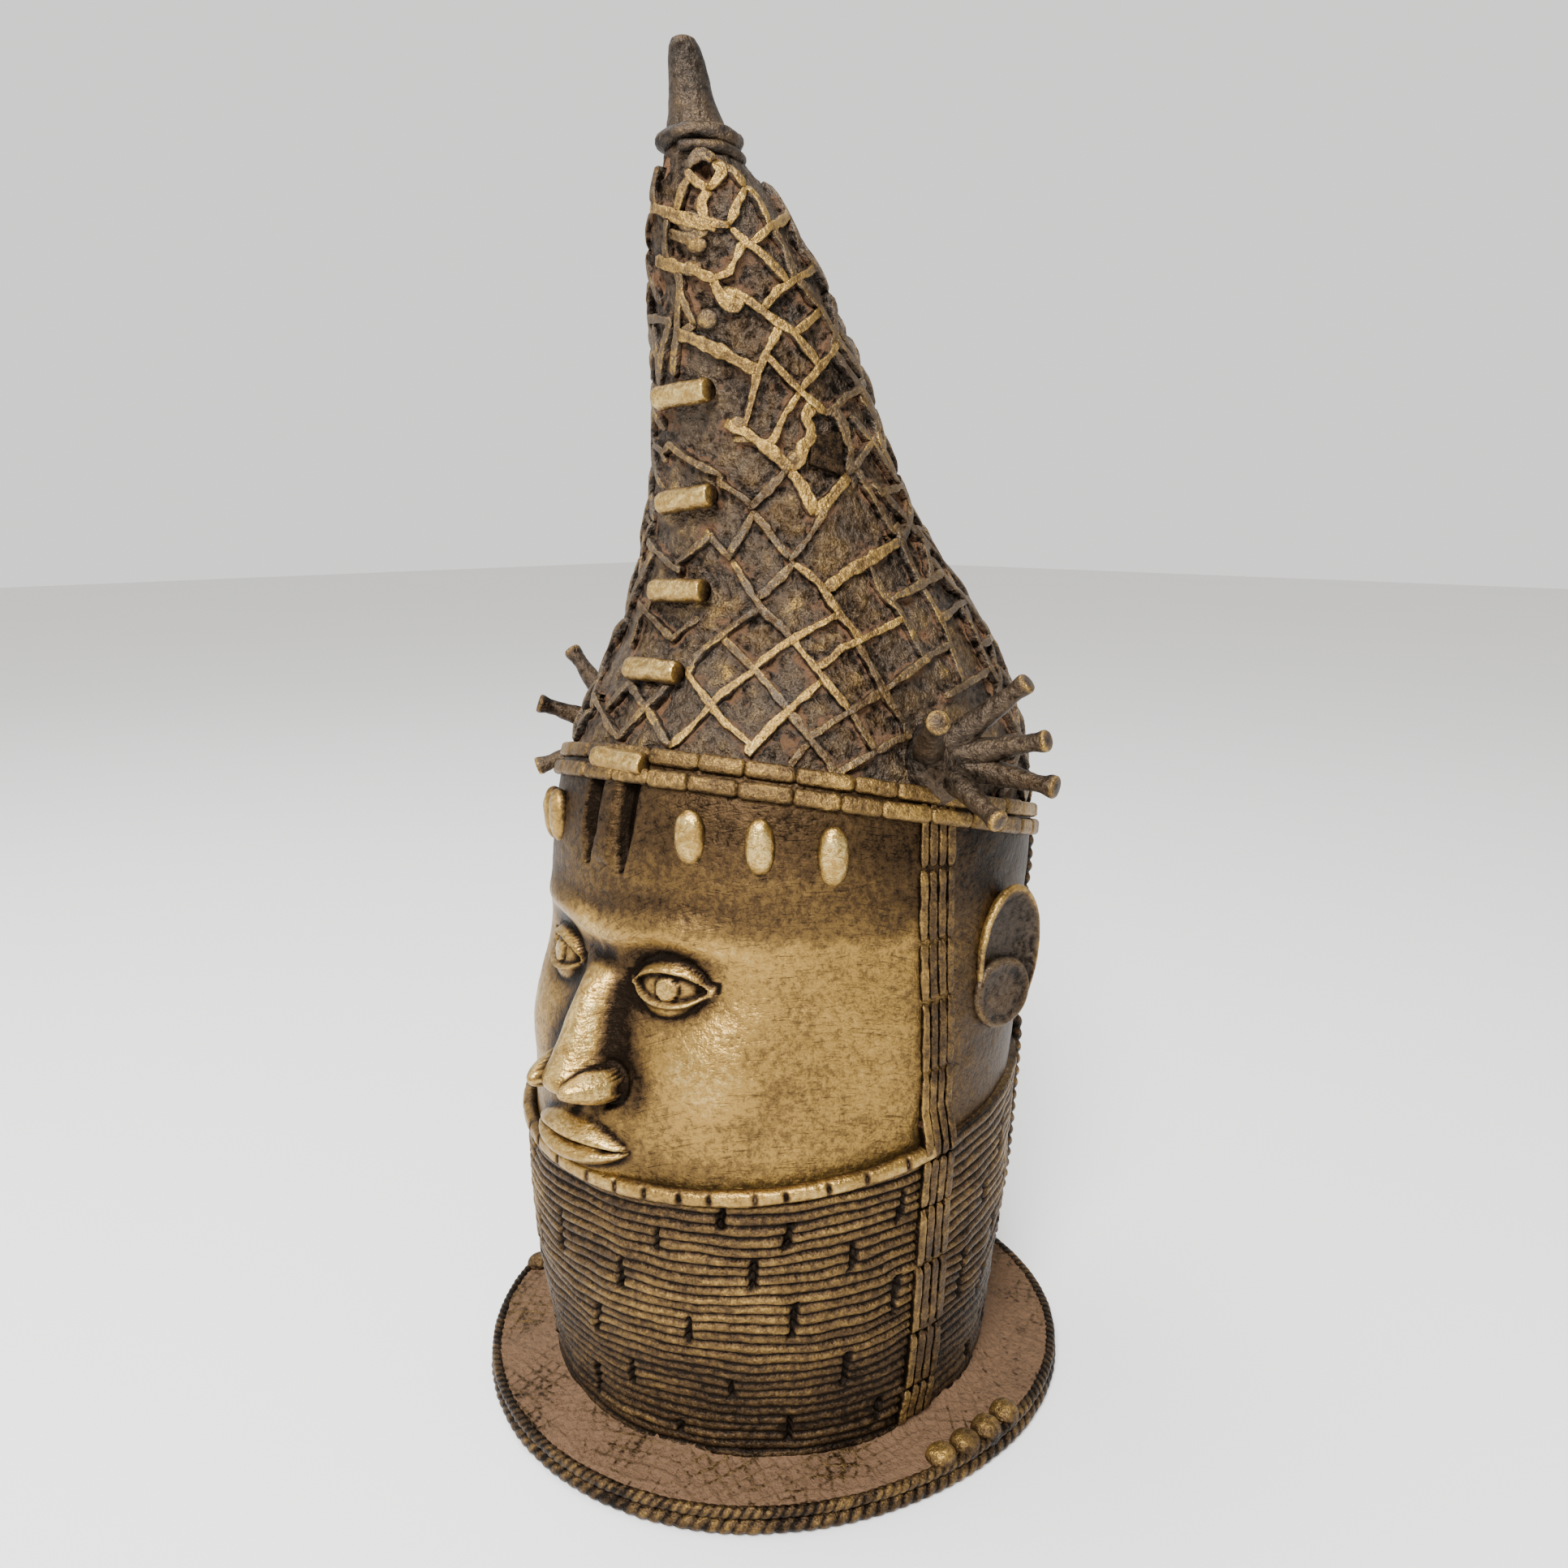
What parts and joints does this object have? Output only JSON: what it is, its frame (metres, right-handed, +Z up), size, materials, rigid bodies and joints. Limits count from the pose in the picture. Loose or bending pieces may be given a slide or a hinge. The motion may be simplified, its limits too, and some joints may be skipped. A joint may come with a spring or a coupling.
{
  "type": "bronze head sculpture",
  "caption": "Hollow-cast bronze head of a court lady: netted cap leaning forward to a horn-like tip, side rosettes of pins, high beaded collar and a round roped flange to stand on.",
  "frame": {"origin": "middle of the flat underside of the flange", "axes": "+Z up through the head, the face looks along -Y, and the figure's left side is +X"},
  "size_m": [0.2454, 0.2416, 0.506],
  "materials": {
    "bronze": "worn golden high spots over a brown patina with reddish earth in the hollows"
  },
  "bodies": {
    "root": {"bronze_head": "bronze"}
  },
  "joints": []
}
